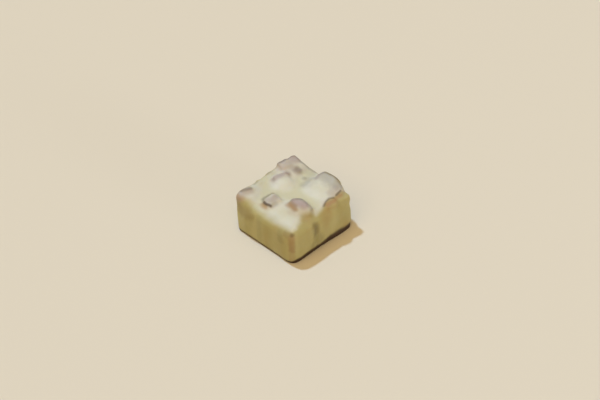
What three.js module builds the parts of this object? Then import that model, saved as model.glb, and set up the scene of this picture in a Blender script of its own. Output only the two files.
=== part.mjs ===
// A square bite of nut praline, dipped in pale chocolate.
//
// The coat is one closed skin, so the bite is one solid: a block with soft rims, swells where the coat
// pooled on the top and ran down the sides, and chopped nuts that stand up under it. Millimetres, +Z up.
// The block rests on z = 0, and its four sides face along X and Y.

import * as THREE from "three";
import { mergeVertices } from "three/addons/utils/BufferGeometryUtils.js";

// The block of praline with its coat: where its sides and its top lie, and how round it is.
const RIGHT = 12.4;
const LEFT = -12.45;
const BACK = 12.85;
const FRONT = -13.5;
const TOP = 11.9;
const CORNER_RADIUS = 2.8;

// The rims slope down to the right and front sides, and the foot draws in all round. Each slope goes
// through a point, faces a heading round Z and a rise above level, in degrees, and meets what lies
// beside it in an edge of its own softness.
const SLOPES = {
  top: { at: [0, 0, TOP], heading: 0, rise: 90, soft: 1.8 },
  rightRim: { at: [8.3, 0, 11.9], heading: 0, rise: 62, soft: 0.8 },
  rightRimLow: { at: [11.6, 0, 10.3], heading: 0, rise: 35, soft: 1.2 },
  frontRim: { at: [0, -9.0, 11.9], heading: -90, rise: 77, soft: 0.4 },
  frontRimLow: { at: [0, -12.4, 11.2], heading: -90, rise: 42, soft: 1.2 },
  rightCorner: { at: [11.7, 11.3, 11.8], heading: 44, rise: 7, soft: 1.0 },
  nearCorner: { at: [11.6, -11.4, 9.4], heading: -25, rise: 40, soft: 1.0 },
};
const FOOT_SLOPES = {
  right: { at: [13.4, 0, 0.4], heading: 0, rise: -30, soft: 0.6 },
  front: { at: [0, -13.5, 0.5], heading: -90, rise: -25, soft: 0.6 },
  left: { at: [-12.4, 0, 0.6], heading: 180, rise: -25, soft: 0.6 },
  back: { at: [0, 12.9, 0.6], heading: 90, rise: -25, soft: 0.6 },
  rightCorner: { at: [12.2, 11.6, 1.6], heading: 60, rise: -25, soft: 0.6 },
  under: { at: [0, 0, 0], heading: 0, rise: -90, soft: 0.6 },
};

// Swells of the coat and nuts under it are lumps. "at" is a lump's middle, "half" its half sizes, "turn"
// its heading round Z, "lean" its tilts about X and Y in degrees, and "square" how square it is, from 2
// for an egg shape up.
const SWELLS = {
  leftSlope: { at: [-9.5, -8.9, 11.1], half: [3.0, 3.9, 1.9], turn: 0, lean: [-4, 16], square: 3.5 },
  leftRim: { at: [-10.1, -0.5, 10.9], half: [2.4, 6.8, 1.5], turn: 0, lean: [0, 12], square: 3.5 },
  backSlope: { at: [-8.3, 7.9, 11.3], half: [3.9, 4.2, 2.0], turn: 0, lean: [0, 18], square: 3.5 },
  middleWedge: { at: [-6.0, 0.8, 11.6], half: [3.0, 3.1, 1.4], turn: -65, lean: [0, 20], square: 4 },
  chipSlope: { at: [0.0, -6.6, 11.2], half: [3.4, 2.6, 1.3], turn: 10, lean: [0, 10], square: 3 },
  rightWedge: { at: [4.6, 7.5, 11.4], half: [5.3, 5.3, 2.0], turn: 0, lean: [13, 4], square: 3.5 },
  drip: { at: [9.2, 0.9, 10.8], half: [2.2, 1.5, 1.0], turn: 0, lean: [0, 14], square: 3 },
  almondRun: { at: [10.7, -4.8, 6.6], half: [1.8, 2.2, 3.6], turn: 0, lean: [0, 0], square: 3 },
  sideUnderAlmond: { at: [10.5, -7.2, 5.2], half: [2.0, 3.6, 4.4], turn: 0, lean: [0, 0], square: 3 },
  sideRight: { at: [10.5, 3.4, 5.4], half: [2.0, 5.2, 4.8], turn: 2, lean: [0, 0], square: 3 },
  sideRightCorner: { at: [10.2, 10.6, 3.4], half: [2.1, 2.0, 4.4], turn: 0, lean: [0, 0], square: 5 },
  footRight: { at: [10.95, 3.8, -0.6], half: [2.2, 7.8, 2.6], turn: -2.5, lean: [0, 0], square: 4 },
  sideFrontLeft: { at: [-7.0, -11.6, 5.6], half: [4.2, 2.0, 5.0], turn: 3, lean: [0, 0], square: 3 },
  sideFrontRight: { at: [3.0, -11.6, 5.2], half: [3.6, 1.9, 5.2], turn: -3, lean: [0, 0], square: 3 },
  sideBackLeft: { at: [-10.4, -1.6, 5.0], half: [2.0, 5.0, 4.4], turn: 2, lean: [0, 0], square: 3 },
  sideBackRight: { at: [-3.0, 11.45, 5.6], half: [4.8, 2.0, 4.5], turn: -2, lean: [0, 0], square: 3 },
};
const NUTS = {
  leftCorner: { at: [-10.9, -10.0, 11.6], half: [1.6, 2.7, 1.5], turn: 3, lean: [-4, 0], square: 3 },
  leftEdgeNear: { at: [-11.2, -4.0, 11.4], half: [1.3, 1.7, 1.4], turn: 12, lean: [0, 0], square: 5 },
  leftEdgeFar: { at: [-11.2, 2.3, 11.5], half: [1.3, 2.2, 1.5], turn: -6, lean: [3, 0], square: 5 },
  backEdge: { at: [-10.6, 6.7, 12.0], half: [1.8, 2.2, 2.1], turn: -6, lean: [0, 10], square: 3.5 },
  backCorner: { at: [-10.6, 10.1, 11.6], half: [1.8, 2.1, 2.1], turn: 6, lean: [-6, 8], square: 3.5 },
  backSpeck: { at: [-6.4, 7.9, 12.1], half: [1.3, 1.1, 0.9], turn: 20, lean: [0, 0], square: 3 },
  ridgeCrest: { at: [-7.8, 2.2, 12.4], half: [1.4, 2.7, 1.2], turn: -24, lean: [0, 13], square: 3 },
  innerSpeck: { at: [-2.7, 7.4, 11.6], half: [1.0, 0.8, 0.8], turn: 15, lean: [0, 0], square: 3 },
  rightRim: { at: [3.9, 11.3, 12.1], half: [4.2, 1.5, 2.0], turn: -4, lean: [4, 1], square: 4 },
  rightEdgeNear: { at: [10.0, 5.0, 11.0], half: [1.7, 2.4, 1.4], turn: -8, lean: [0, 22], square: 3 },
  rightEdgeFar: { at: [9.1, 9.8, 11.4], half: [1.4, 1.7, 1.4], turn: 8, lean: [0, 18], square: 3 },
  rightCorner: { at: [10.3, 9.9, 10.0], half: [1.6, 2.3, 1.6], turn: 0, lean: [0, 4], square: 4 },
  frontAlmond: { at: [5.3, -2.8, 11.55], half: [4.1, 2.5, 1.9], turn: 2, lean: [22, 4], square: 3 },
  frontChip: { at: [-2.6, -7.0, 11.8], half: [2.0, 2.6, 1.6], turn: -2, lean: [6, 14], square: 4 },
};

// Two runs of the coat leave a groove between them, down the right side.
const GROOVE = { at: [12.7, -3.3, 5.6], half: [0.6, 1.0, 4.2], turn: 0, lean: [0, 0], square: 2 };

// How softly the coat fills the angle beside a swell and beside a nut, and rounds the groove's lips.
const SWELL_FILLET = 1.0;
const NUT_FILLET = 1.2;
const GROOVE_LIP = 0.6;

// The skin's grid: squares along each side of the block.
const STEPS_X = 36;
const STEPS_Y = 38;
const STEPS_Z = 18;

const middleX = (RIGHT + LEFT) / 2;
const middleY = (BACK + FRONT) / 2;
const halfX = (RIGHT - LEFT) / 2;
const halfY = (BACK - FRONT) / 2;

// The nearer of two surfaces, with a fillet in the angle between them.
function filled(first, second, fillet) {
  const share = Math.max(fillet - Math.abs(first - second), 0) / fillet;
  return Math.min(first, second) - (share * share * fillet) / 4;
}

// What lies inside both of two surfaces, with a soft edge where they meet.
function softened(first, second, softness) {
  return -filled(-first, -second, softness);
}

// A slope as a plane that faces outward.
function placedSlope({ at, heading, rise, soft }) {
  const [turn, lift] = [heading, rise].map(THREE.MathUtils.degToRad);
  const level = Math.cos(lift);
  const facing = new THREE.Vector3(level * Math.cos(turn), level * Math.sin(turn), Math.sin(lift));
  const plane = new THREE.Plane().setFromNormalAndCoplanarPoint(facing, new THREE.Vector3(...at));
  return { plane, soft };
}

// A lump's placement, turned round so that a point of the bite can be read in the lump's own frame.
function placedLump({ at, half, turn, lean, square }) {
  const angles = [...lean, turn].map(THREE.MathUtils.degToRad);
  const place = new THREE.Matrix4().makeRotationFromEuler(new THREE.Euler(...angles, "ZYX"));
  place.setPosition(...at);
  return { half, square, intoLump: place.invert() };
}

const slopes = Object.values(SLOPES).map(placedSlope);
const footSlopes = Object.values(FOOT_SLOPES).map(placedSlope);
const swells = Object.values(SWELLS).map(placedLump);
const nuts = Object.values(NUTS).map(placedLump);
const groove = placedLump(GROOVE);

// Distance from a lump's surface along the line to its middle, below zero inside it.
function lumpDistance(point, { half, square, intoLump }) {
  const inside = point.clone().applyMatrix4(intoLump);
  const sizes = [inside.x / half[0], inside.y / half[1], inside.z / half[2]];
  const reach = sizes.reduce((sum, size) => sum + Math.abs(size) ** square, 1e-9) ** (1 / square);
  return inside.length() * (1 - 1 / reach);
}

// Distance to the four sides: a square with round corners in plan.
function sidesDistance(point) {
  const x = Math.abs(point.x - middleX) - halfX + CORNER_RADIUS;
  const y = Math.abs(point.y - middleY) - halfY + CORNER_RADIUS;
  return Math.hypot(Math.max(x, 0), Math.max(y, 0)) + Math.min(Math.max(x, y), 0) - CORNER_RADIUS;
}

// Distance to the coat over the block, its swells and its nuts, drawn in at the foot and level below.
function coatDistance(point) {
  let distance = sidesDistance(point);
  for (const { plane, soft } of slopes) distance = softened(distance, plane.distanceToPoint(point), soft);
  for (const swell of swells) distance = filled(distance, lumpDistance(point, swell), SWELL_FILLET);
  for (const nut of nuts) distance = filled(distance, lumpDistance(point, nut), NUT_FILLET);
  distance = softened(distance, -lumpDistance(point, groove), GROOVE_LIP);
  for (const { plane, soft } of footSlopes) distance = softened(distance, plane.distanceToPoint(point), soft);
  return distance;
}

// Moves a point of a plain box onto the coat, along the way that a rounded box faces there.
const REACH = 5;
const TRACE_STEPS = 120;
const TRACE_SHARE = 0.5;
const INNER_HALF = new THREE.Vector3(halfX, halfY, TOP / 2).addScalar(-CORNER_RADIUS);

function ontoCoat(corner) {
  const inner = corner.clone().clamp(INNER_HALF.clone().negate(), INNER_HALF);
  const outward = corner.clone().sub(inner).normalize();
  const point = inner.addScaledVector(outward, CORNER_RADIUS + REACH);
  point.add(new THREE.Vector3(middleX, middleY, TOP / 2));
  for (let step = 0; step < TRACE_STEPS; step++) {
    point.addScaledVector(outward, -TRACE_SHARE * coatDistance(point));
  }
  return point;
}

// The closed skin: a box's grid of squares, each of its points drawn onto the coat.
function coatGeometry() {
  const box = new THREE.BoxGeometry(2 * halfX, 2 * halfY, TOP, STEPS_X, STEPS_Y, STEPS_Z);
  box.deleteAttribute("normal");
  box.deleteAttribute("uv");
  const skin = mergeVertices(box);
  const position = skin.getAttribute("position");
  for (let i = 0; i < position.count; i++) {
    const point = ontoCoat(new THREE.Vector3().fromBufferAttribute(position, i));
    position.setXYZ(i, point.x, point.y, point.z);
  }
  skin.computeBoundingBox();
  const middle = skin.boundingBox.getCenter(new THREE.Vector3());
  skin.translate(-middle.x, -middle.y, 0);
  skin.computeVertexNormals();
  return skin;
}

const paleCoat = new THREE.MeshStandardMaterial({ color: "#cfc48f", roughness: 0.42, metalness: 0 });

const bite = new THREE.Group();
const praline = new THREE.Mesh(coatGeometry(), paleCoat);
praline.name = "coated_praline";
bite.add(praline);

export default bite;
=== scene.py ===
import math

import bmesh
import bpy
from mathutils import Euler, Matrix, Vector, noise
from mathutils.bvhtree import BVHTree


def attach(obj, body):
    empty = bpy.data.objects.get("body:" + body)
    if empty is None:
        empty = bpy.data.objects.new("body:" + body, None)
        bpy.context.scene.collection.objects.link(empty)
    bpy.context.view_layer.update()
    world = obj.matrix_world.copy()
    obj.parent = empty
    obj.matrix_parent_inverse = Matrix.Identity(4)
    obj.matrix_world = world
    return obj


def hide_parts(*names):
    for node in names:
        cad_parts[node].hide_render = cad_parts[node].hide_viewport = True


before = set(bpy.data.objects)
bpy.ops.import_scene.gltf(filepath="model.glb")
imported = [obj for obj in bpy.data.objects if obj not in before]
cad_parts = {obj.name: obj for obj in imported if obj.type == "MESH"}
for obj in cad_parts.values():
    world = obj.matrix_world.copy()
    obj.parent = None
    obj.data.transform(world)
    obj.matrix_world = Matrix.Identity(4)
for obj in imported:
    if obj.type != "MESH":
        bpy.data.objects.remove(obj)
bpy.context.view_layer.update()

# The bite: a square of brown nut paste with chopped nuts pressed into its top, dipped in pale chocolate
# that closed over it all in one skin. The coat pooled on the top, ran down the sides in soft swells, and
# drained off nuts and edges, where the brown shows through. Shaped in millimetres, standing on z = 0.

# The dipped block, which starts below the floor so that settling it leaves the foot square.
BLOCK_LOW = Vector((-12.4, -13.5, -3.0))
BLOCK_HIGH = Vector((12.5, 12.9, 11.9))
BLOCK_CORNER = 2.4
CORNER_STEPS = 6

# Where the block is cut back: a point on each cut, the way it faces round Z and how steeply it faces up.
RIM_CUTS = {
    "right": ((8.3, 0, 11.9), 0, 62),
    "front": ((0, -9.0, 11.9), -90, 77),
    "front_low": ((0, -12.2, 11.2), -90, 42),
    "right_low": ((11.6, 0, 10.3), 0, 35),
    "right_corner": ((11.7, 11.3, 11.8), 44, 2),
    "near_corner": ((11.6, -11.4, 9.4), -25, 40),
    "back_right": ((8.0, 12.55, 6.0), 84, 0),
}

# Where the coat swells. Each lump has a middle, half sizes, a heading round Z, tilts about X and Y, and
# how square it is, from 2 for an egg shape up.
SWELLS = {
    "left_slope": ((-9.8, -9.2, 11.2), (3.2, 4.2, 1.9), 0, (-4, 16), 4),
    "left_rim": ((-10.6, -0.5, 10.9), (2.4, 7.0, 1.5), 0, (0, 12), 4),
    "back_slope": ((-8.6, 8.2, 11.4), (4.0, 4.4, 2.0), 0, (0, 18), 4),
    "middle_wedge": ((-6.0, 0.8, 11.8), (3.0, 3.1, 1.5), -65, (0, 20), 4),
    "chip_slope": ((0.0, -6.6, 11.2), (3.4, 2.6, 1.3), 10, (0, 10), 3),
    "right_wedge": ((4.7, 7.6, 11.4), (5.4, 5.4, 2.1), 0, (13, 4), 4),
    "drip": ((9.2, 0.9, 10.8), (2.2, 1.5, 1.0), 0, (0, 14), 3),
    "almond_run": ((11.0, -4.8, 6.6), (1.8, 2.2, 3.6), 0, (0, 0), 3),
    "side_under_almond": ((10.8, -7.2, 5.2), (2.0, 3.6, 4.4), 0, (0, 0), 3),
    "side_right": ((10.8, 3.4, 5.4), (2.0, 5.2, 4.8), 2, (0, 0), 3),
    "side_right_corner": ((10.4, 10.6, 3.4), (2.1, 2.0, 4.4), 0, (0, 0), 5),
    "foot_right": ((10.75, 3.8, -0.6), (2.2, 8.0, 2.6), -5, (0, 0), 5),
    "side_front_left": ((-7.0, -11.6, 5.6), (4.2, 2.0, 5.0), 3, (0, 0), 3),
    "side_front_right": ((3.0, -11.6, 5.2), (3.6, 1.9, 5.2), -3, (0, 0), 3),
    "side_back_left": ((-10.6, -1.6, 5.0), (2.0, 5.0, 4.4), 2, (0, 0), 3),
    "side_back_right": ((-3.0, 11.5, 5.6), (4.8, 2.0, 4.5), -2, (0, 0), 3),
}
LUMP_FINENESS = 3
LUMP_WAVES = 1.4
LUMP_VARIETY = 3.7
BODY_VOXEL = 0.3
BODY_SETTLING = 60
SETTLING_STEP = 0.5


def add_block(bm, low, high, corner):
    block = bmesh.ops.create_cube(bm, size=1.0)["verts"]
    bmesh.ops.scale(bm, vec=high - low, verts=block)
    bmesh.ops.translate(bm, vec=(high + low) / 2, verts=block)
    upright = [e for e in bm.edges if e.verts[0].co.xy == e.verts[1].co.xy]
    bmesh.ops.bevel(bm, geom=upright, offset=corner, offset_type="OFFSET", affect="EDGES",
                    segments=CORNER_STEPS, profile=0.5, material=-1)


def cut_back(bm, point, heading, rise):
    facing = Vector((1, 0, 0))
    facing.rotate(Euler((0, -math.radians(rise), math.radians(heading)), "XYZ"))
    cut = bmesh.ops.bisect_plane(bm, geom=bm.verts[:] + bm.edges[:] + bm.faces[:],
                                 plane_co=point, plane_no=facing, clear_outer=True)["geom_cut"]
    bmesh.ops.edgenet_fill(bm, edges=[e for e in cut if isinstance(e, bmesh.types.BMEdge)])


def lump_turn(heading, tilts):
    return Euler([math.radians(a) for a in (*tilts, heading)], "XYZ").to_matrix()


def lump_reach(place, squareness):
    """How far out a place is in a lump with half sizes of 1, where 1 is the lump's own skin."""
    return sum(abs(c) ** squareness for c in place) ** (1 / squareness)


def add_lump(bm, middle, half, heading, tilts, squareness, unevenness=0.0):
    lump = bmesh.ops.create_icosphere(bm, subdivisions=LUMP_FINENESS, radius=1.0)["verts"]
    for vert in lump:
        vert.co /= lump_reach(vert.co, squareness)
        vert.co *= 1.0 + unevenness * noise.noise(vert.co * LUMP_WAVES + Vector(middle) * LUMP_VARIETY)
    bmesh.ops.scale(bm, vec=half, verts=lump)
    bmesh.ops.rotate(bm, matrix=lump_turn(heading, tilts), verts=lump)
    bmesh.ops.translate(bm, vec=middle, verts=lump)


def closed_skin(bm, voxel):
    """The outer skin of overlapping shells, as a bmesh of even squares."""
    mesh = bpy.data.meshes.new("shells")
    bm.to_mesh(mesh)
    shells = bpy.data.objects.new("shells", mesh)
    bpy.context.scene.collection.objects.link(shells)
    remesh = shells.modifiers.new("skin", "REMESH")
    remesh.mode = "VOXEL"
    remesh.voxel_size = voxel
    skin = bmesh.new()
    skin.from_object(shells, bpy.context.evaluated_depsgraph_get())
    bpy.data.objects.remove(shells)
    bpy.data.meshes.remove(mesh)
    skin.normal_update()
    return skin


def settle(bm, passes):
    for _ in range(passes):
        bmesh.ops.smooth_vert(bm, verts=bm.verts, factor=SETTLING_STEP,
                              use_axis_x=True, use_axis_y=True, use_axis_z=True)
    bm.normal_update()


coat = bmesh.new()
add_block(coat, BLOCK_LOW, BLOCK_HIGH, BLOCK_CORNER)
for cut in RIM_CUTS.values():
    cut_back(coat, *cut)
for swell in SWELLS.values():
    add_lump(coat, *swell)
coat = closed_skin(coat, BODY_VOXEL)
settle(coat, BODY_SETTLING)
pooled = BVHTree.FromBMesh(coat)

# The foot, cut like the rim: undercut a little all round, drawn in at two corners and flat below.
FOOT_CUTS = {
    "right": ((13.4, 0, 0.4), 0, -30),
    "front": ((0, -13.5, 0.5), -90, -25),
    "left": ((-12.4, 0, 0.6), 180, -25),
    "back": ((0, 12.9, 0.6), 90, -25),
    "right_corner": ((12.4, 11.9, 1.6), 80, -25),
    "left_corner": ((-12.05, -12.05, 4.5), -135, -4),
    "under": ((0, 0, 0), 0, -90),
}
for cut in FOOT_CUTS.values():
    cut_back(coat, *cut)

# The nuts: uneven lumps, each ending with how rosy and how tan it shows through the coat.
NUTS = {
    "left_corner": ((-10.9, -10.0, 11.4), (1.6, 2.7, 1.5), 3, (-4, 0), 3, 1.0, 0.2),
    "left_edge_near": ((-11.2, -4.0, 11.15), (1.3, 1.7, 1.4), 12, (0, 0), 5, 0.1, 0.0),
    "left_edge_far": ((-11.2, 2.3, 11.25), (1.3, 2.2, 1.5), -6, (3, 0), 5, 0.2, 0.0),
    "back_edge": ((-10.8, 6.6, 12.0), (1.9, 2.2, 2.1), -6, (0, 10), 5, 0.7, 0.0),
    "back_corner": ((-10.45, 10.2, 11.7), (1.7, 2.0, 2.1), 6, (-6, 8), 4, 0.85, 0.0),
    "back_speck": ((-6.4, 7.9, 12.1), (1.3, 1.1, 0.9), 20, (0, 0), 3, 0.2, 0.0),
    "ridge_crest": ((-7.8, 2.2, 12.4), (1.4, 2.7, 1.2), -24, (0, 13), 3, 0.3, 0.0),
    "inner_speck": ((-2.7, 7.4, 11.6), (1.0, 0.8, 0.8), 15, (0, 0), 3, 0.2, 0.0),
    "right_rim": ((3.5, 11.43, 12.08), (3.9, 1.9, 2.1), -4, (4, 0), 4, 0.1, 0.0),
    "right_edge_near": ((10.0, 5.0, 11.0), (1.7, 2.4, 1.4), -8, (0, 22), 3, 0.0, 0.3),
    "right_edge_far": ((9.05, 9.6, 11.4), (1.4, 1.7, 1.4), 8, (0, 18), 3, 0.3, 0.0),
    "right_corner": ((10.3, 9.97, 10.0), (1.6, 2.3, 1.6), 0, (0, 4), 4, 0.0, 0.0),
    "front_almond": ((5.3, -2.7, 11.55), (4.2, 2.6, 1.9), 2, (22, 4), 3, 0.1, 0.0),
    "front_chip": ((-2.6, -7.0, 11.8), (2.0, 2.6, 1.6), -2, (6, 14), 4, 0.1, 0.0),
}
NUT_UNEVENNESS = 0.15
for *nut, _, _ in NUTS.values():
    add_lump(coat, *nut, NUT_UNEVENNESS)

# The coat closes over the nuts and fills the corners round them, as a skin swollen out and drawn back does.
COAT_VOXEL = 0.2
COAT_FILL = 0.8
FILL_SETTLING = 4
COAT_SETTLING = 8


def swell_out(bm, distance):
    for vert in bm.verts:
        vert.co += vert.normal * distance
    bm.normal_update()


coat = closed_skin(coat, COAT_VOXEL)
settle(coat, FILL_SETTLING)
swell_out(coat, COAT_FILL)
coat = closed_skin(coat, COAT_VOXEL)
settle(coat, FILL_SETTLING)
swell_out(coat, -COAT_FILL)
settle(coat, COAT_SETTLING)

# The set coat keeps soft runs down its sides, a faint wave all over, and a groove in the right side. Waves
# are counted per millimetre, and a pair of limits says where something starts and where it is in full.
RUN_WAVES_ROUND = 0.28
RUN_WAVES_DOWN = 0.07
RUN_DEPTH = 0.35
WAVES = 0.6
WAVE_DEPTH = 0.05
RELIEF_Z = (0.0, 1.5)
GROOVE_Y = -3.3
GROOVE_WIDTH = (1.1, 0.0)
GROOVE_FOOT_Z = (1.0, 4.0)
GROOVE_HEAD_Z = (9.5, 8.0)
GROOVE_FACING = (0.3, 0.8)
GROOVE_DEPTH = 0.45


def share(value, start, end):
    """How far a value is from start to end, eased at both, from 0 to 1."""
    part = min(max((value - start) / (end - start), 0.0), 1.0)
    return part * part * (3 - 2 * part)


for vert in coat.verts:
    place = vert.co
    side = 1.0 - abs(vert.normal.z)
    run_place = Vector((place.x * RUN_WAVES_ROUND, place.y * RUN_WAVES_ROUND, place.z * RUN_WAVES_DOWN))
    run = noise.noise(run_place)
    wave = noise.noise(place * WAVES)
    vert.co += vert.normal * (RUN_DEPTH * side * run + WAVE_DEPTH * wave) * share(place.z, *RELIEF_Z)
    groove = share(abs(place.y - GROOVE_Y), *GROOVE_WIDTH)
    groove *= share(place.z, *GROOVE_FOOT_Z) * share(place.z, *GROOVE_HEAD_Z)
    vert.co.x -= GROOVE_DEPTH * groove * share(vert.normal.x, *GROOVE_FACING)
coat.normal_update()

# The pool on the top: its edge in plan from the left corner round, with how softly it thins out there.
# Its cream where it lies level and towards the back is painted shade, and its ivory on slopes, on the
# highest nuts, towards the near corner and round one bright spot is painted highlight standing in for
# sheen.
POOL_EDGE = [
    (-12.0, -11.9, 0.8), (-9.6, -12.0, 1.0), (-8.0, -11.5, 1.4), (-4.6, -10.9, 2.0), (2.0, -11.8, 2.5),
    (8.0, -11.4, 1.4), (10.0, -11.3, 0.9), (10.2, -9.5, 0.9), (9.1, -7.1, 1.2), (7.3, -5.3, 1.2),
    (8.8, -2.6, 0.9), (9.3, -1.4, 1.0), (9.9, -1.1, 1.5), (9.9, 0.8, 1.2), (9.4, 3.0, 0.5),
    (8.9, 5.3, 0.3), (9.6, 7.2, 0.3), (9.4, 10.3, 0.4), (10.0, 12.0, 0.6), (-11.6, 12.2, 1.0),
    (-11.9, 0.0, 0.8),
]
POOL_RIM_Z = 10.8
POOL_LOWEST_Z = 6.0
POOL_WAVES = 0.4
POOL_RAGGEDNESS = 0.25
LEVEL_FACING = (0.94, 1.0)
LEVEL_FROM_NEAR_CORNER = (-22.0, -4.0)
LEVEL_Z = (14.2, 12.9)
BRIGHTEST_SPOT = Vector((0.0, -5.6, 12.3))
BRIGHTEST_REACH = (1.2, 3.6)


def nearest_on(place, start, end):
    """How far along a stretch its nearest point to a place lies, from 0 to 1, and how far off that is."""
    along = end - start
    part = min(max((place - start).dot(along) / along.length_squared, 0.0), 1.0)
    return part, (place - start - along * part).length


def pool_share(place):
    """How far a place is past the pool's edge, from 0 on the pool to 1 on the runs down the sides."""
    flat = place.to_2d()
    inside, nearest = False, math.inf
    for (x0, y0, soft0), (x1, y1, soft1) in zip(POOL_EDGE, POOL_EDGE[1:] + POOL_EDGE[:1]):
        if (y0 > flat.y) != (y1 > flat.y) and flat.x < x0 + (x1 - x0) * (flat.y - y0) / (y1 - y0):
            inside = not inside
        part, distance = nearest_on(flat, Vector((x0, y0)), Vector((x1, y1)))
        if distance < nearest:
            nearest, soft = distance, soft0 + (soft1 - soft0) * part
    past = (-nearest if inside else nearest) + max(POOL_RIM_Z - place.z, 0.0)
    past += POOL_RAGGEDNESS * soft * noise.noise(place * POOL_WAVES)
    return share(past, -soft, soft)


# Painted shade on the top: how far a place is painted cream rather than the lit ivory.
def level_shade_share(place):
    facing = share(pooled.find_nearest(place)[1].z, *LEVEL_FACING)
    facing *= share(place.y - place.x, *LEVEL_FROM_NEAR_CORNER)
    return facing * share(place.z, *LEVEL_Z) * share((place - BRIGHTEST_SPOT).length, *BRIGHTEST_REACH)


run_off = [pool_share(vert.co) if vert.co.z > POOL_LOWEST_Z else 1.0 for vert in coat.verts]
level_shade = [level_shade_share(vert.co) for vert in coat.verts]

# The nuts show through the coat in rose and tan, most where they lie just under it.
NUT_SHOWS = (1.45, 0.9)
NUT_SHOWS_Z = (9.5, 11.8)
NUT_NEAR = 1.5
NUT_WAVES = 0.7
NUT_RAGGEDNESS = 0.15

rose, tan, brown_and_shade = ([0.0] * len(coat.verts) for _ in range(3))
for middle, half, heading, tilts, squareness, nut_rose, nut_tan in NUTS.values():
    turned_back = lump_turn(heading, tilts).transposed()
    for vert in coat.verts:
        inside = turned_back @ (vert.co - Vector(middle))
        if inside.length < NUT_NEAR * max(half):
            reach = lump_reach([c / h for c, h in zip(inside, half)], squareness)
            reach += NUT_RAGGEDNESS * noise.noise(vert.co * NUT_WAVES)
            shows = share(reach, *NUT_SHOWS) * share(vert.co.z, *NUT_SHOWS_Z)
            rose[vert.index] = max(rose[vert.index], nut_rose * shows)
            tan[vert.index] = max(tan[vert.index], nut_tan * shows)
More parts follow.
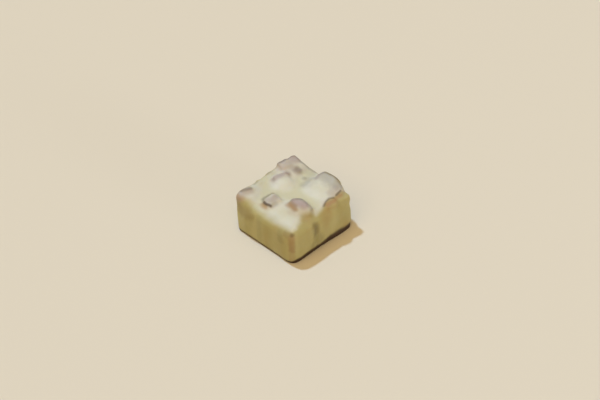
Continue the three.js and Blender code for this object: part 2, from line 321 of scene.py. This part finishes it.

# Where the coat is thin or broken, and where shade is painted in creases, behind and beside lumps, on parts
# turned from the light and in the groove: how wide each mark is, how rosy, tan and brown it shows, and its
# line.
MARKS = {
    "chip_crack": (0.75, 0.0, 0.3, 0.8, [(-3.7, -9.2, 12.7), (-2.6, -9.4, 12.8), (-1.2, -8.9, 12.6)]),
    "chip_foot": (1.1, 0.0, 0.75, 0.0, [(-4.0, -9.8, 12.0), (-2.2, -10.0, 12.2)]),
    "chip_crest": (0.9, 0.3, 0.0, 0.45, [(-4.5, -8.6, 12.5), (-4.5, -6.8, 13.1), (-3.9, -4.9, 13.2)]),
    # Painted shade round the chip's far side, on the pool behind it.
    "chip_behind_shade": (0.9, 0.0, 0.0, 0.48, [(-5.2, -8.1, 12.1), (-5.4, -7.0, 12.0), (-5.3, -5.9, 12.0),
                                          (-4.9, -4.1, 12.0)]),
    "chip_end": (1.3, 0.3, 0.0, 0.18, [(-0.9, -8.4, 12.6), (-0.8, -7.2, 12.6)]),
    "chip_shade": (1.6, 0.1, 0.0, 0.15, [(-4.2, -4.0, 12.4), (-3.4, -4.4, 12.9)]),
    "chip_facet": (2.0, 0.6, 0.0, 0.07, [(-3.2, -8.2, 13.2), (-2.2, -7.4, 13.3), (-2.4, -5.8, 13.3)]),
    "almond_crest_near": (1.2, 0.3, 0.0, 0.2, [(2.0, -4.1, 12.7), (2.1, -3.0, 13.2), (2.8, -1.8, 13.6)]),
    "almond_crest": (1.2, 0.3, 0.0, 0.42, [(2.8, -1.8, 13.6), (4.2, -1.25, 13.6)]),
    "almond_crest_far": (1.2, 0.3, 0.0, 0.28, [(4.2, -1.25, 13.6), (6.6, -1.2, 13.5), (8.4, -1.8, 12.7)]),
    "almond_valley": (1.2, 0.0, 0.0, 0.05, [(8.4, -1.8, 12.7), (9.9, -2.5, 11.4), (11.3, -3.0, 9.6)]),
    "almond_tip": (1.4, 0.0, 0.85, 0.15, [(2.2, -4.6, 12.5), (3.6, -4.8, 12.8), (5.0, -5.0, 12.6)]),
    "almond_skin": (1.0, 0.2, 0.35, 0.2, [(2.6, -4.0, 12.9), (4.6, -4.3, 12.9)]),
    "almond_top": (2.4, 1.0, 0.0, 0.0, [(3.0, -3.2, 13.3), (6.6, -2.4, 13.3)]),
    "almond_end": (2.4, 0.1, 0.2, 0.0, [(7.0, -4.6, 12.3), (9.2, -4.0, 11.6)]),
    "almond_foot": (1.8, 0.0, 0.25, 0.0, [(4.6, -6.2, 12.0), (6.4, -5.8, 11.9)]),
    "left_crest": (1.1, 0.5, 0.0, 0.42, [(-11.7, -10.6, 13.0), (-11.1, -9.2, 13.2), (-10.6, -7.9, 13.1)]),
    "left_top": (2.2, 0.65, 0.12, 0.0, [(-10.9, -10.8, 13.0), (-10.2, -8.8, 13.1)]),
    "left_foot": (1.5, 0.0, 0.4, 0.0, [(-11.8, -12.5, 12.2), (-9.4, -12.4, 12.4)]),
    "left_end": (1.2, 0.3, 0.2, 0.0, [(-11.9, -12.0, 12.8)]),
    "left_shade": (2.0, 0.0, 0.0, 0.07, [(-9.8, -6.6, 12.9)]),
    "rim_step_near": (0.7, 0.3, 0.0, 0.3, [(-11.6, -5.4, 12.8), (-11.8, -4.0, 12.9)]),
    "rim_step_far": (0.7, 0.3, 0.0, 0.3, [(-11.9, 0.5, 12.9), (-11.9, 2.0, 13.0)]),
    "ridge_line": (1.5, 0.8, 0.0, 0.06, [(-8.7, -0.3, 13.0), (-7.9, 1.9, 13.6), (-7.4, 4.9, 13.1)]),
    "ridge_near": (1.1, 0.4, 0.0, 0.15, [(-8.5, -0.2, 13.1)]),
    "ridge_far": (1.2, 0.6, 0.15, 0.2, [(-7.5, 4.3, 13.2), (-7.0, 4.7, 13.0)]),
    "ridge_shade": (2.2, 0.0, 0.0, 0.08, [(-8.1, -1.9, 12.6)]),
    "ridge_end": (1.8, 0.0, 0.0, 0.08, [(-6.5, 3.5, 12.5)]),
    "back_spot": (2.2, 0.5, 0.22, 0.4, [(-6.4, 8.0, 12.95)]),
    "back_patch": (2.2, 0.5, 0.0, 0.08, [(-8.6, 7.2, 13.5), (-7.4, 7.8, 13.2)]),
    "back_crest": (0.8, 0.4, 0.0, 0.4, [(-11.8, 5.3, 13.9), (-11.4, 7.3, 14.2), (-11.6, 10.0, 13.6),
                                        (-10.8, 11.8, 13.2)]),
    "back_rim": (1.0, 0.2, 0.0, 0.3, [(-10.3, 11.8, 13.2), (-8.5, 11.4, 13.0), (-7.0, 11.8, 12.4),
                                      (-3.0, 12.0, 12.0)]),
    "back_shade": (2.5, 0.1, 0.0, 0.06, [(-5.5, 10.5, 12.3), (-1.5, 10.8, 12.0)]),
    "inner_spot": (1.0, 0.0, 0.0, 0.25, [(-3.0, 7.1, 12.3), (-2.4, 7.3, 12.3)]),
    # Painted shade with rose in the crease at the lump's left side.
    "lump_side": (1.3, 0.6, 0.0, 0.2, [(-0.5, 11.6, 13.0), (0.2, 10.0, 13.5), (0.8, 8.6, 13.6)]),
    "lump_crest": (1.0, 0.4, 0.0, 0.45, [(0.3, 10.9, 13.7), (1.2, 12.0, 14.0), (3.8, 12.7, 14.1),
                                         (5.8, 12.4, 14.0)]),
    "lump_crest_end": (1.0, 0.4, 0.0, 0.3, [(5.8, 12.4, 14.0), (6.4, 12.2, 13.9), (8.6, 11.1, 13.2)]),
    # Painted shade: the lump's top greyed where it turns away from the light.
    "lump_top_shade": (4.2, 0.12, 0.0, 0.28, [(1.0, 11.4, 13.9), (7.2, 11.0, 13.9)]),
    "lump_shade": (2.2, 0.0, 0.0, 0.25, [(-0.7, 8.4, 12.6), (-0.8, 6.8, 12.3), (-0.7, 5.3, 12.1)]),
    # Painted shade on the slope by the lump's left crease.
    "lump_slope_shade": (2.2, 0.0, 0.0, 0.12, [(1.0, 7.4, 13.4), (0.6, 5.6, 12.9)]),
    "right_near_crest": (0.55, 0.0, 0.2, 0.6, [(9.6, 2.6, 11.8), (9.1, 4.2, 12.4), (9.0, 5.6, 12.5),
                                               (9.7, 6.8, 12.4)]),
    "right_near_foot": (1.3, 0.0, 0.9, 0.08, [(10.2, 3.6, 12.0), (10.4, 6.4, 12.0)]),
    "right_far_crest": (0.55, 0.0, 0.2, 0.65, [(9.5, 8.0, 12.5), (9.4, 8.9, 12.7), (9.3, 10.2, 12.9)]),
    "right_far_foot": (0.9, 0.0, 0.6, 0.0, [(10.1, 7.4, 12.1), (10.1, 9.4, 12.2)]),
    "right_far_top": (0.9, 0.5, 0.0, 0.0, [(8.6, 8.8, 13.2), (8.6, 9.8, 13.3)]),
    "right_far_glow": (2.2, 0.4, 0.0, 0.08, [(8.2, 7.4, 13.1), (7.9, 9.8, 13.5)]),
    "near_edge": (1.6, 0.0, 0.58, 0.18, [(10.6, -12.2, 9.6), (11.3, -12.9, 7.5), (11.4, -12.9, 5.0)]),
    "near_edge_foot": (1.6, 0.0, 0.3, 0.1, [(11.4, -12.9, 4.5), (11.4, -12.9, 1.4)]),
    "near_spot": (1.3, 0.0, 0.0, 0.5, [(10.6, -12.0, 10.3)]),
    "near_shade": (1.5, 0.0, 0.15, 0.2, [(8.6, -12.9, 10.3), (10.0, -12.6, 10.2)]),
    "front_band_left": (1.8, 0.0, 0.0, 0.12, [(-2.0, -13.2, 9.6), (-1.5, -13.5, 2.0)]),
    "front_band_right": (2.0, 0.0, 0.0, 0.15, [(6.9, -13.2, 9.8), (7.4, -13.6, 7.5)]),
    "front_corner_left": (3.4, 0.0, 0.15, 0.2, [(-10.4, -13.0, 9.4), (-8.4, -13.4, 8.8),
                                                (-6.0, -13.4, 9.0)]),
    # Painted shade in the groove in the right side, and below it.
    "groove": (2.1, 0.0, 0.0, 0.42, [(11.9, -3.5, 9.0), (12.5, -3.6, 6.8)]),
    "groove_foot_shade": (2.4, 0.0, 0.0, 0.22, [(12.5, -3.6, 6.0), (12.6, -2.0, 3.4), (12.6, -4.4, 2.9)]),
    # Bare paste at the right foot, darkened further as painted contact shadow.
    "right_foot": (1.2, 0.0, 0.0, 0.95, [(12.6, -3.5, 1.0), (12.7, 2.0, 1.4), (12.8, 6.0, 1.4),
                                         (12.8, 9.5, 0.8)]),
}
MARK_WAVES = 1.1
MARK_RAGGEDNESS = 0.3
MARK_CORE = 0.2


def line_distance(place, line):
    if len(line) == 1:
        return (place - line[0]).length
    return min(nearest_on(place, start, end)[1] for start, end in zip(line, line[1:]))


for width, mark_rose, mark_tan, mark_brown_and_shade, points in MARKS.values():
    line = [Vector(p) for p in points]
    middle = sum(line, Vector()) / len(line)
    reach = max((p - middle).length for p in line) + width
    for vert in coat.verts:
        if (vert.co - middle).length < reach:
            ragged = 1 + MARK_RAGGEDNESS * noise.noise(vert.co * MARK_WAVES)
            shows = share(line_distance(vert.co, line), width * ragged, MARK_CORE * width)
            rose[vert.index] = max(rose[vert.index], mark_rose * shows)
            tan[vert.index] = max(tan[vert.index], mark_tan * shows)
            brown_and_shade[vert.index] = max(brown_and_shade[vert.index], mark_brown_and_shade * shows)

# The coat stops short of the floor, and the paste below it is bare: which way each side faces, and how high
# the coat stops there. On the right side, which lies in shadow, the band is drawn taller to paint the
# contact shadow under the foot as well as the bare paste.
BARE_FOOT = [
    (Vector((1, 0, 0)), 1.62),
    (Vector((0, -1, 0)), 0.8),
    (Vector((-1, 0, 0)), 0.7),
    (Vector((0, 1, 0)), 0.8),
]
BARE_EDGE = 0.4
BARE_WAVES = 0.5
BARE_RAGGEDNESS = 0.15

for vert in coat.verts:
    outward = Vector((vert.normal.x, vert.normal.y, 0)).normalized()
    height = sum(max(outward.dot(facing), 0) ** 2 * bare for facing, bare in BARE_FOOT)
    height *= 1 + BARE_RAGGEDNESS * noise.noise(vert.co * BARE_WAVES)
    bare = share(vert.co.z, height + BARE_EDGE, height - BARE_EDGE)
    brown_and_shade[vert.index] = max(brown_and_shade[vert.index], bare)

# Each shade soaks into the coat round it, over so many passes from one point of the skin to the next.
LEVEL_SOAKING = 40
ROSE_SOAKING = 16
TAN_SOAKING = 8
BROWN_SOAKING = 2

neighbours = [[edge.other_vert(vert).index for edge in vert.link_edges] for vert in coat.verts]


def soaked(values, passes):
    for _ in range(passes):
        values = [(value + sum(values[n] for n in near) / len(near)) / 2
                  for value, near in zip(values, neighbours)]
    return values


shades = {
    "run_off": run_off,
    "level_shade": soaked(level_shade, LEVEL_SOAKING),
    "rose": soaked(rose, ROSE_SOAKING),
    "tan": soaked(tan, TAN_SOAKING),
    "brown_and_shade": soaked(brown_and_shade, BROWN_SOAKING),
}

# The finished piece, in metres with the middle of its foot at the origin.
MM = 0.001

low = Vector([min(v.co[k] for v in coat.verts) for k in range(3)])
high = Vector([max(v.co[k] for v in coat.verts) for k in range(3)])
foot_middle = Vector(((low.x + high.x) / 2, (low.y + high.y) / 2, low.z))
bmesh.ops.translate(coat, vec=-foot_middle, verts=coat.verts)
bmesh.ops.scale(coat, vec=(MM, MM, MM), verts=coat.verts)
mesh = bpy.data.meshes.new("praline_coat")
coat.to_mesh(mesh)
mesh.shade_smooth()
for name, values in shades.items():
    mesh.attributes.new(name, "FLOAT", "POINT").data.foreach_set("value", values)
coat_piece = bpy.data.objects.new("praline_coat", mesh)
bpy.context.scene.collection.objects.link(coat_piece)
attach(coat_piece, "root")
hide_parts("coated_praline")

# The finish: ivory where the coat lies thick, golden where it ran down the sides, rosy over a nut and brown
# where it is thin, with a satin sheen. On the top, cream where it lies level is painted shade and ivory on
# slopes is painted highlight, and the brown also paints shade in creases, in the groove and at the shadowed
# right foot. Sizes are in metres, and a height under 1 draws clouds and streaks out downward. Each span is
# where the noise starts to show and where it shows in full.
IVORY = (0.65, 0.635, 0.525, 1)
CREAM = (0.59, 0.56, 0.38, 1)
GOLDEN = (0.475, 0.425, 0.19, 1)
OLIVE_GOLD = (0.395, 0.34, 0.13, 1)
ROSE = (0.41, 0.325, 0.285, 1)
TAN = (0.42, 0.25, 0.11, 1)
# The brown of the paste, also used to paint shade and the contact shadow at the right foot.
BROWN = (0.044, 0.019, 0.006, 1)
CLOUD_DETAIL = 2
CLOUD_SPAN = (0.45, 0.75)
TOP_CLOUD_SIZE = 0.0022
TOP_CLOUD_SHARE = 0.3
SIDE_CLOUD_SIZE = 0.0018
SIDE_CLOUD_HEIGHT = 0.6
SIDE_CLOUD_SHARE = 0.35
STREAK_SIZE = 0.006
STREAK_DETAIL = 1
STREAK_HEIGHT = 0.25
STREAK_SPAN = (0.3, 0.75)
TAN_STREAK_HEIGHT = 0.4
TAN_STREAK_SPAN = (0.5, 0.75)
TAN_STREAK_SHARE = 0.25
SHEEN_CLOUD_SIZE = 0.003
SHEEN_CLOUD_SPAN = (0.3, 0.7)
ROUGHNESS = (0.52, 0.64)
SPECULAR = 0.35
GRAIN_SIZE = 0.0009
GRAIN_DETAIL = 3
GRAIN_DEPTH = 0.00008
GRAIN_STRENGTH = 0.4
GLOW_SHARE = 0.25
GLOW_RADIUS = (1.0, 0.7, 0.35)
GLOW_DEPTH = 0.0006


def coat_material():
    material = bpy.data.materials.new("ivory_coat")
    material.use_nodes = True
    nodes, links = material.node_tree.nodes, material.node_tree.links
    shader = nodes["Principled BSDF"]
    places = nodes.new("ShaderNodeTexCoord").outputs["Object"]

    def link_or_set(socket, value):
        if isinstance(value, bpy.types.NodeSocket):
            links.new(value, socket)
        else:
            socket.default_value = value

    def attribute(name):
        node = nodes.new("ShaderNodeAttribute")
        node.attribute_name = name
        return node.outputs["Fac"]

    def mottle(size, detail, height=1.0):
        stretch = nodes.new("ShaderNodeVectorMath")
        stretch.operation = "MULTIPLY"
        links.new(places, stretch.inputs[0])
        stretch.inputs[1].default_value = (1, 1, height)
        node = nodes.new("ShaderNodeTexNoise")
        node.inputs["Scale"].default_value = 1 / size
        node.inputs["Detail"].default_value = detail
        links.new(stretch.outputs["Vector"], node.inputs["Vector"])
        return node.outputs["Fac"]

    def span(value, start, end, to_start=0.0, to_end=1.0):
        node = nodes.new("ShaderNodeMapRange")
        node.interpolation_type = "SMOOTHSTEP"
        links.new(value, node.inputs["Value"])
        node.inputs["From Min"].default_value = start
        node.inputs["From Max"].default_value = end
        node.inputs["To Min"].default_value = to_start
        node.inputs["To Max"].default_value = to_end
        return node.outputs["Result"]

    def mix(factor, first, second):
        node = nodes.new("ShaderNodeMix")
        node.data_type = "RGBA"
        links.new(factor, node.inputs["Factor"])
        link_or_set(node.inputs["A"], first)
        link_or_set(node.inputs["B"], second)
        return node.outputs["Result"]

    top_clouds = span(mottle(TOP_CLOUD_SIZE, CLOUD_DETAIL), *CLOUD_SPAN, to_end=TOP_CLOUD_SHARE)
    # The top's painted shade and painted highlight: cream where it lies level, ivory on slopes.
    top = mix(attribute("level_shade"), IVORY, CREAM)
    top = mix(top_clouds, top, CREAM)
    streaks = mottle(STREAK_SIZE, STREAK_DETAIL, STREAK_HEIGHT)
    streaks = span(streaks, *STREAK_SPAN)
    tan_streaks = mottle(STREAK_SIZE, STREAK_DETAIL, TAN_STREAK_HEIGHT)
    tan_streaks = span(tan_streaks, *TAN_STREAK_SPAN, to_end=TAN_STREAK_SHARE)
    side_clouds = mottle(SIDE_CLOUD_SIZE, CLOUD_DETAIL, SIDE_CLOUD_HEIGHT)
    side_clouds = span(side_clouds, *CLOUD_SPAN, to_end=SIDE_CLOUD_SHARE)
    sides = mix(streaks, GOLDEN, OLIVE_GOLD)
    sides = mix(tan_streaks, sides, TAN)
    sides = mix(side_clouds, sides, OLIVE_GOLD)
    colour = mix(attribute("run_off"), top, sides)
    colour = mix(attribute("rose"), colour, ROSE)
    colour = mix(attribute("tan"), colour, TAN)
    colour = mix(attribute("brown_and_shade"), colour, BROWN)
    links.new(colour, shader.inputs["Base Color"])
    sheen = span(mottle(SHEEN_CLOUD_SIZE, CLOUD_DETAIL), *SHEEN_CLOUD_SPAN, *ROUGHNESS)
    links.new(sheen, shader.inputs["Roughness"])
    shader.inputs["Specular IOR Level"].default_value = SPECULAR
    bump = nodes.new("ShaderNodeBump")
    bump.inputs["Strength"].default_value = GRAIN_STRENGTH
    bump.inputs["Distance"].default_value = GRAIN_DEPTH
    links.new(mottle(GRAIN_SIZE, GRAIN_DETAIL), bump.inputs["Height"])
    links.new(bump.outputs["Normal"], shader.inputs["Normal"])
    shader.inputs["Subsurface Weight"].default_value = GLOW_SHARE
    shader.inputs["Subsurface Radius"].default_value = GLOW_RADIUS
    shader.inputs["Subsurface Scale"].default_value = GLOW_DEPTH
    return material


coat_piece.data.materials.append(coat_material())

# The floor: a plain pale sheet that the bite stands on.
FLOOR_REACH = 2.0
FLOOR_COLOUR = (0.726, 0.661, 0.53, 1)
FLOOR_ROUGHNESS = 0.9
FLOOR_SPECULAR = 0.1

floor_mesh = bpy.data.meshes.new("floor")
sheet = bmesh.new()
bmesh.ops.create_grid(sheet, x_segments=1, y_segments=1, size=FLOOR_REACH)
sheet.to_mesh(floor_mesh)
floor = bpy.data.objects.new("floor", floor_mesh)
bpy.context.scene.collection.objects.link(floor)
floor_material = bpy.data.materials.new("floor")
floor_material.use_nodes = True
floor_shader = floor_material.node_tree.nodes["Principled BSDF"]
floor_shader.inputs["Base Color"].default_value = FLOOR_COLOUR
floor_shader.inputs["Roughness"].default_value = FLOOR_ROUGHNESS
floor_shader.inputs["Specular IOR Level"].default_value = FLOOR_SPECULAR
floor_mesh.materials.append(floor_material)

# The lights: a cool one high on the left that casts the shadow, a wide warm one in front, a weak softbox
# low on the right, and a warm room.
KEY_FROM = Vector((-0.466, -0.014, 0.885))
KEY_STRENGTH = 2.26
KEY_COLOUR = (0.49, 0.70, 1.0)
KEY_SPREAD = math.radians(4)
FRONT_FROM = Vector((0.164, -0.504, 0.848))
FRONT_STRENGTH = 0.96
FRONT_COLOUR = (1.0, 0.772, 0.462)
FRONT_SPREAD = math.radians(60)
SUN_DISTANCE = 1.0
FILL_FROM = Vector((1.0, 0.15, 0.08)).normalized()
FILL_DISTANCE = 0.8
FILL_POWER = 1.68
FILL_COLOUR = (0.88, 0.91, 1.0)
FILL_SIZE = 0.2
ROOM_LIGHT = (0.423, 0.326, 0.195, 1)


def add_light(name, kind, colour, energy, towards, distance):
    data = bpy.data.lights.new(name, kind)
    data.color = colour
    data.energy = energy
    light = bpy.data.objects.new(name, data)
    light.location = towards * distance
    light.rotation_mode = "QUATERNION"
    light.rotation_quaternion = towards.to_track_quat("Z", "Y")
    bpy.context.scene.collection.objects.link(light)
    return data


key = add_light("key", "SUN", KEY_COLOUR, KEY_STRENGTH, KEY_FROM, SUN_DISTANCE)
key.angle = KEY_SPREAD
front = add_light("front", "SUN", FRONT_COLOUR, FRONT_STRENGTH, FRONT_FROM, SUN_DISTANCE)
front.angle = FRONT_SPREAD
fill = add_light("fill", "AREA", FILL_COLOUR, FILL_POWER, FILL_FROM, FILL_DISTANCE)
fill.size = FILL_SIZE
world = bpy.data.worlds.new("room")
world.use_nodes = True
world.node_tree.nodes["Background"].inputs["Color"].default_value = ROOM_LIGHT
bpy.context.scene.world = world
bpy.context.scene.view_settings.view_transform = "Standard"

# The camera: a long lens over the corner between the right and front sides. The place that the bite was
# shaped round, on the floor under its middle, falls on its pixel of the 600 by 400 picture.
VIEW_AZIMUTH = math.radians(43.9)
VIEW_ELEVATION = math.radians(42.0)
LENS = 135
SENSOR = 36
NEAREST = 0.01
PICTURE = (600, 400)
FOOT_PIXEL = (294.5, 224.4)
PIXEL_AT_FOOT = 0.302 * MM

camera_right = Vector((math.cos(VIEW_AZIMUTH), math.sin(VIEW_AZIMUTH), 0))
ahead = Vector((-math.sin(VIEW_AZIMUTH), math.cos(VIEW_AZIMUTH), 0))
look = ahead * math.cos(VIEW_ELEVATION) - Vector((0, 0, math.sin(VIEW_ELEVATION)))
to_foot = look * (LENS / SENSOR * PICTURE[0])
to_foot += camera_right * (FOOT_PIXEL[0] - PICTURE[0] / 2)
to_foot -= camera_right.cross(look) * (FOOT_PIXEL[1] - PICTURE[1] / 2)
camera_data = bpy.data.cameras.new("camera")
camera_data.lens = LENS
camera_data.sensor_width = SENSOR
camera_data.clip_start = NEAREST
camera = bpy.data.objects.new("camera", camera_data)
camera.location = -to_foot * PIXEL_AT_FOOT - foot_middle * MM
camera.rotation_mode = "QUATERNION"
camera.rotation_quaternion = look.to_track_quat("-Z", "Y")
bpy.context.scene.collection.objects.link(camera)
bpy.context.scene.camera = camera
